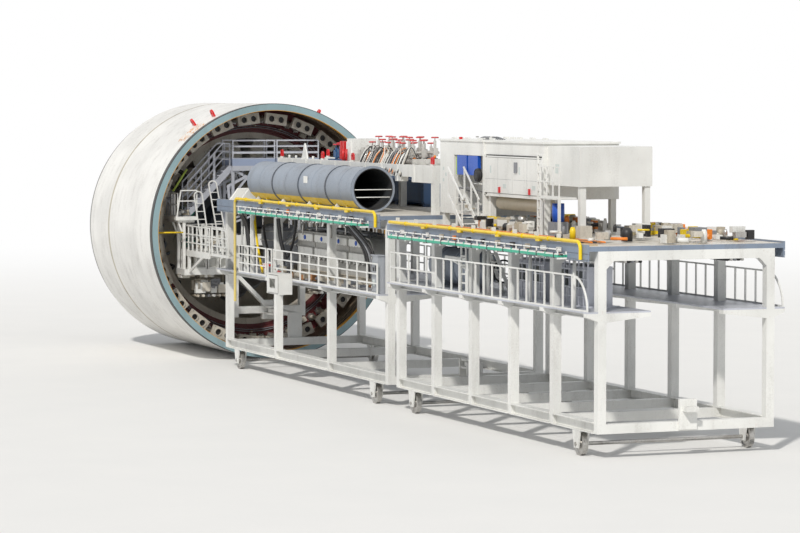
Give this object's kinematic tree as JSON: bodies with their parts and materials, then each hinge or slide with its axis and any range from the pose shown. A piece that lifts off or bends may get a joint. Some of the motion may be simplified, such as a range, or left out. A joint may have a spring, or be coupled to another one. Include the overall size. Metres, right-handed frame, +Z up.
{
  "type": "tunnel boring machine with two trailing gantries, 1:2 scale model",
  "caption": "Scale model of a shielded tunnel boring machine: cutterhead, shield with thrust jacks and segment erector, and two wheeled trailing gantries hinged behind it.",
  "frame": {"origin": "centre of the machine's footprint on the floor", "axes": "+X to the rear along the machine's axis, +Y to its right side, +Z up"},
  "size_m": [24.4048, 5.3998, 5.3998],
  "materials": {
    "shield_paint": "weathered satin",
    "wall_paint": "satin",
    "rim_steel": "satin",
    "red_paint": "gloss",
    "blue_paint": "gloss",
    "green_paint": "satin",
    "grey_paint": "satin",
    "dark_red_paint": "satin",
    "white_paint": "satin",
    "galvanised": "matt",
    "head_steel": "matt",
    "bright_steel": "brushed",
    "shoe_paint": "satin",
    "yellow_paint": "gloss",
    "duct_paint": "satin",
    "tank_paint": "satin",
    "rubber": "matt"
  },
  "bodies": {
    "shield": {"front_shield": "shield_paint", "bulkhead": "wall_paint", "tail_skin": "shield_paint", "tail_rim": "rim_steel", "shield_lugs": "red_paint", "main_drive": "blue_paint", "drive_motors": "green_paint", "man_locks": "wall_paint", "screw_conveyor": "grey_paint", "carrier_ring": "dark_red_paint", "thrust_barrels": "grey_paint", "bridge_frame": "white_paint", "upper_platform": "galvanised", "shield_stair": "galvanised", "side_platforms": "white_paint", "lower_baskets": "white_paint", "shield_tow_bracket": "white_paint"},
    "cutterhead_body": {"cutterhead": "head_steel", "disc_cutters": "bright_steel", "head_scrapers": "head_steel"},
    "thrust_top": {"thrust_rods_top": "shoe_paint"},
    "thrust_right": {"thrust_rods_right": "shoe_paint"},
    "thrust_bottom": {"thrust_rods_bottom": "shoe_paint"},
    "thrust_left": {"thrust_rods_left": "shoe_paint"},
    "erector": {"erector_ring": "shoe_paint"},
    "erector_grip": {"erector_head": "shoe_paint"},
    "gantry_1": {"g1_frame": "white_paint", "g1_long_beams": "white_paint", "g1_deck": "grey_paint", "g1_yellow_line": "yellow_paint", "g1_cable_tray": "green_paint", "g1_walkways": "galvanised", "g1_handrails": "white_paint", "air_duct": "duct_paint", "notched_beams": "white_paint", "beam_lugs": "red_paint", "fluid_tank": "tank_paint", "grout_machine": "grey_paint", "valve_station": "blue_paint", "loop_hose": "rubber", "g1_cabinet": "white_paint"},
    "gantry_1_door": {"g1_cabinet_door": "white_paint"},
    "gantry_1_front_wheels": {"g1_wheels_front": "bright_steel"},
    "gantry_1_rear_wheels": {"g1_wheels_rear": "bright_steel"},
    "gantry_2": {"g2_frame": "white_paint", "g2_long_beams": "white_paint", "g2_deck": "grey_paint", "g2_yellow_line": "yellow_paint", "g2_cable_tray": "green_paint", "g2_walkways": "galvanised", "g2_handrails": "white_paint", "container": "white_paint", "switch_cabinet": "white_paint", "fan_silencer": "duct_paint", "mesh_cages": "galvanised", "g2_ladders": "white_paint"},
    "gantry_2_door_left": {"switch_door_left": "white_paint"},
    "gantry_2_door_right": {"switch_door_right": "white_paint"},
    "gantry_2_front_wheels": {"g2_wheels_front": "bright_steel"},
    "gantry_2_rear_wheels": {"g2_wheels_rear": "bright_steel"}
  },
  "joints": [
    {"name": "cutterhead_turn", "type": "hinge", "parent": "shield", "child": "cutterhead_body", "pos_m": [-11.8375, 0, 2.7], "axis": [1, 0, 0], "continuous": true},
    {"name": "thrust_top_stroke", "type": "slide", "parent": "shield", "child": "thrust_top", "axis": [1, 0, 0], "range_m": [0, 1]},
    {"name": "thrust_right_stroke", "type": "slide", "parent": "shield", "child": "thrust_right", "axis": [1, 0, 0], "range_m": [0, 1]},
    {"name": "thrust_bottom_stroke", "type": "slide", "parent": "shield", "child": "thrust_bottom", "axis": [1, 0, 0], "range_m": [0, 1]},
    {"name": "thrust_left_stroke", "type": "slide", "parent": "shield", "child": "thrust_left", "axis": [1, 0, 0], "range_m": [0, 1]},
    {"name": "erector_turn", "type": "hinge", "parent": "shield", "child": "erector", "pos_m": [-8.9075, 0, 2.7], "axis": [1, 0, 0], "range_deg": [-200, 200]},
    {"name": "erector_reach", "type": "slide", "parent": "erector", "child": "erector_grip", "axis": [0, -0.8387, 0.5446], "range_m": [0, 0.2]},
    {"name": "gantry_1_yaw", "type": "hinge", "parent": "shield", "child": "gantry_1", "pos_m": [-7.2575, 0, 1.025], "axis": [0, 0, 1], "range_deg": [-3, 3]},
    {"name": "gantry_1_front_wheels_turn", "type": "hinge", "parent": "gantry_1", "child": "gantry_1_front_wheels", "pos_m": [-5.1575, 0, 0.18], "axis": [0, 1, 0], "continuous": true},
    {"name": "gantry_1_rear_wheels_turn", "type": "hinge", "parent": "gantry_1", "child": "gantry_1_rear_wheels", "pos_m": [2.4925, 0, 0.18], "axis": [0, 1, 0], "continuous": true},
    {"name": "gantry_1_door_swing", "type": "hinge", "parent": "gantry_1", "child": "gantry_1_door", "pos_m": [-1.92, -1.9975, 1.95], "axis": [0, 0, 1], "range_deg": [-110, 0]},
    {"name": "gantry_2_yaw", "type": "hinge", "parent": "gantry_1", "child": "gantry_2", "pos_m": [3.4425, 0, 0.75], "axis": [0, 0, 1], "range_deg": [-3, 3]},
    {"name": "gantry_2_front_wheels_turn", "type": "hinge", "parent": "gantry_2", "child": "gantry_2_front_wheels", "pos_m": [4.3925, 0, 0.18], "axis": [0, 1, 0], "continuous": true},
    {"name": "gantry_2_rear_wheels_turn", "type": "hinge", "parent": "gantry_2", "child": "gantry_2_rear_wheels", "pos_m": [11.2425, 0, 0.18], "axis": [0, 1, 0], "continuous": true},
    {"name": "gantry_2_door_left_swing", "type": "hinge", "parent": "gantry_2", "child": "gantry_2_door_left", "pos_m": [5.675, -0.6875, 4.2], "axis": [0, 0, 1], "range_deg": [-110, 0]},
    {"name": "gantry_2_door_right_swing", "type": "hinge", "parent": "gantry_2", "child": "gantry_2_door_right", "pos_m": [8.06, -0.6875, 4.2], "axis": [0, 0, 1], "range_deg": [0, 110]}
  ]
}
